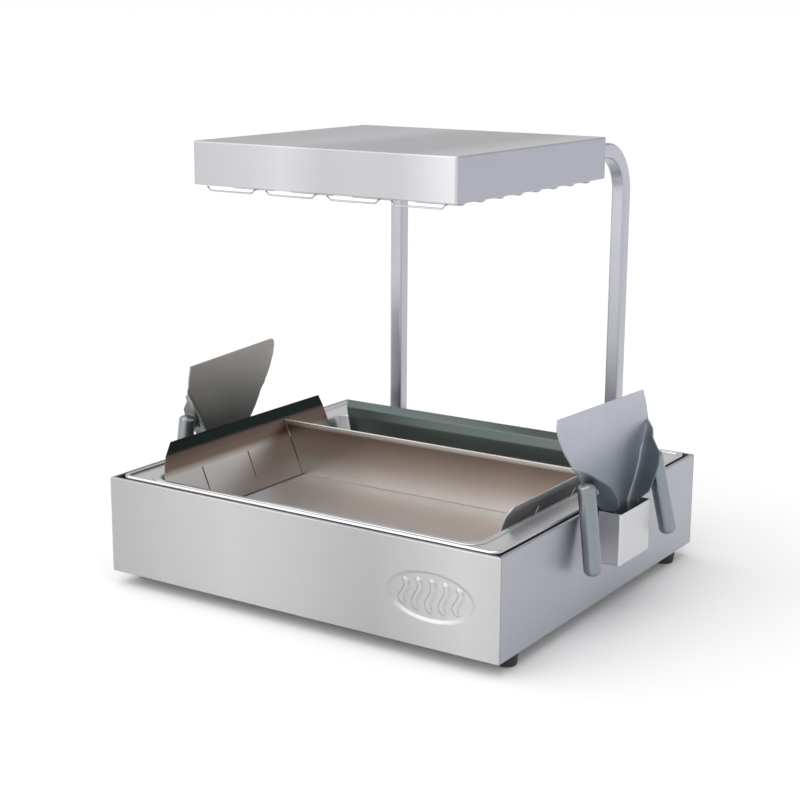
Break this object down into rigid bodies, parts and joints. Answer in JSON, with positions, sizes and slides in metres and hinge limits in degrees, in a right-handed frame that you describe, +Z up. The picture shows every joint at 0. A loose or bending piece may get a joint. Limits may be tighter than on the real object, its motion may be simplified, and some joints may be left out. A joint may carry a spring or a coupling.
{
  "type": "heat lamp warmer",
  "caption": "Countertop food warming station: a low heated steel base with a drop-in pan and removable insert, a slim heat hood on bent square posts, and side scoops in open holders.",
  "frame": {"origin": "on the surface that the feet stand on, at the middle of the whole object's footprint", "axes": "+Z up, +X to the right as seen from the front, the front panel faces -Y"},
  "size_m": [0.7764, 0.616, 0.665],
  "materials": {
    "panel_steel": "fine brushed",
    "deck_steel": "bright brushed with a polished bead",
    "inner_steel": "mill finish",
    "foot_rubber": "matte",
    "pan_steel": "bright satin",
    "insert_steel": "bright satin",
    "insulation_wool": "fibrous",
    "blanket_silicone": "satin",
    "spreader_aluminium": "mill finish",
    "bulb_metal": "satin",
    "post_steel": "fine brushed",
    "fastener_steel": "polished",
    "hood_steel": "fine brushed",
    "reflector_aluminium": "specular",
    "element_sheath": "heat-darkened satin",
    "guard_chrome": "polished",
    "holder_steel": "fine brushed",
    "scoop_aluminium": "satin cast",
    "handle_aluminium": "satin cast",
    "control_plastic": "fine textured",
    "knob_plastic": "satin",
    "rocker_plastic": "gloss",
    "terminal_ceramic": "unglazed"
  },
  "bodies": {
    "warmer": {"back_panel": "panel_steel", "bottom_cover": "inner_steel", "control_box": "inner_steel", "element_support_front": "inner_steel", "element_support_rear": "inner_steel", "foot_front_left": "foot_rubber", "foot_front_right": "foot_rubber", "foot_rear_left": "foot_rubber", "foot_rear_right": "foot_rubber", "front_panel": "panel_steel", "heat_spreader": "spreader_aluminium", "heating_blanket": "blanket_silicone", "heating_element_1": "element_sheath", "heating_element_2": "element_sheath", "heating_element_3": "element_sheath", "heating_element_4": "element_sheath", "holder_screw_left": "fastener_steel", "holder_screw_right": "fastener_steel", "hood_baffle": "inner_steel", "hood_cross_bar": "inner_steel", "hood_shell": "hood_steel", "insulation_pad": "insulation_wool", "post_bolt_left": "fastener_steel", "post_bolt_right": "fastener_steel", "post_cross_bar": "inner_steel", "post_left": "post_steel", "post_right": "post_steel", "power_inlet": "control_plastic", "reflector_1": "reflector_aluminium", "reflector_2": "reflector_aluminium", "reflector_3": "reflector_aluminium", "reflector_4": "reflector_aluminium", "rocker_frame": "control_plastic", "scoop_holder_left": "holder_steel", "scoop_holder_right": "holder_steel", "side_panel_left": "panel_steel", "side_panel_right": "panel_steel", "terminal_block": "terminal_ceramic", "thermostat_body": "control_plastic", "thermostat_bulb": "bulb_metal", "top_deck": "deck_steel", "well_liner": "inner_steel", "wire_guard_1": "guard_chrome", "wire_guard_2": "guard_chrome", "wire_guard_3": "guard_chrome", "wire_guard_4": "guard_chrome"},
    "food_pan": {"food_pan": "pan_steel"},
    "insert": {"insert_floor": "pan_steel", "insert_wing_left": "insert_steel", "insert_wing_right": "insert_steel", "insert_back_wall": "insert_steel"},
    "cross_divider": {"cross_divider": "insert_steel"},
    "scoop_left": {"scoop_left": "scoop_aluminium", "scoop_handle_left_front": "handle_aluminium"},
    "scoop_right": {"scoop_right": "scoop_aluminium", "scoop_handle_right_front": "handle_aluminium", "scoop_handle_right_rear": "handle_aluminium"},
    "rocker_switch": {"rocker_switch": "rocker_plastic"},
    "thermostat_knob": {"thermostat_knob": "knob_plastic"}
  },
  "joints": [
    {"name": "pan_lift", "type": "slide", "parent": "warmer", "child": "food_pan", "axis": [0, 0, 1], "range_m": [0, 0.12]},
    {"name": "insert_lift", "type": "slide", "parent": "food_pan", "child": "insert", "axis": [0, 0, 1], "range_m": [0, 0.1]},
    {"name": "divider_lift", "type": "slide", "parent": "insert", "child": "cross_divider", "axis": [0, 0, 1], "range_m": [0, 0.09]},
    {"name": "left_scoop_lift", "type": "slide", "parent": "warmer", "child": "scoop_left", "axis": [0, 0, 1], "range_m": [0, 0.15]},
    {"name": "right_scoop_lift", "type": "slide", "parent": "warmer", "child": "scoop_right", "axis": [0, 0, 1], "range_m": [0, 0.15]},
    {"name": "power_rocker", "type": "hinge", "parent": "warmer", "child": "rocker_switch", "pos_m": [0.005, 0.2868, 0.088], "axis": [1, 0, 0], "range_deg": [-20, 0]},
    {"name": "thermostat_turn", "type": "hinge", "parent": "warmer", "child": "thermostat_knob", "pos_m": [-0.055, 0.2811, 0.088], "axis": [0, 1, 0], "range_deg": [0, 300]}
  ]
}
